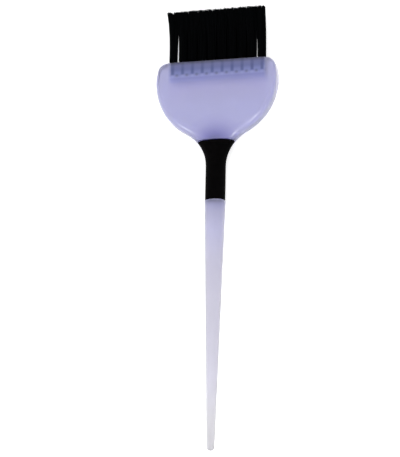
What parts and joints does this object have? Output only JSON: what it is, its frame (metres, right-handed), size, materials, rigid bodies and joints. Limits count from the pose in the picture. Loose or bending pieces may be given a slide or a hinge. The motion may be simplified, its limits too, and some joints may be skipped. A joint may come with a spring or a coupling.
{
  "type": "tint brush",
  "caption": "Hair colour brush with a flat D-shaped head, two rows of black bristle tufts, a soft black grip at the neck and a tapered tail.",
  "frame": {"origin": "centre of the brush's footprint, at the flat back of the head on which it lies", "axes": "+Y along the brush towards the bristles, +X across the head, +Z out of the head's front face"},
  "size_m": [0.06, 0.22, 0.0086],
  "materials": {
    "lilac_plastic": "frosted translucent, satin",
    "soft_grip": "soft-touch matte",
    "bristle": "satin nylon filament",
    "anchor_wire": "drawn flat wire"
  },
  "bodies": {
    "root": {"handle": "lilac_plastic", "soft_grip": "soft_grip", "tuft_front_01": "bristle", "tuft_front_02": "bristle", "tuft_front_03": "bristle", "tuft_front_04": "bristle", "tuft_front_05": "bristle", "tuft_front_06": "bristle", "tuft_front_07": "bristle", "tuft_front_08": "bristle", "tuft_front_09": "bristle", "tuft_front_10": "bristle", "tuft_back_01": "bristle", "tuft_back_02": "bristle", "tuft_back_03": "bristle", "tuft_back_04": "bristle", "tuft_back_05": "bristle", "tuft_back_06": "bristle", "tuft_back_07": "bristle", "anchor_front_01": "anchor_wire", "anchor_front_02": "anchor_wire", "anchor_front_03": "anchor_wire", "anchor_front_04": "anchor_wire", "anchor_front_05": "anchor_wire", "anchor_front_06": "anchor_wire", "anchor_front_07": "anchor_wire", "anchor_front_08": "anchor_wire", "anchor_front_09": "anchor_wire", "anchor_front_10": "anchor_wire", "anchor_back_01": "anchor_wire", "anchor_back_02": "anchor_wire", "anchor_back_03": "anchor_wire", "anchor_back_04": "anchor_wire", "anchor_back_05": "anchor_wire", "anchor_back_06": "anchor_wire", "anchor_back_07": "anchor_wire"}
  },
  "joints": []
}
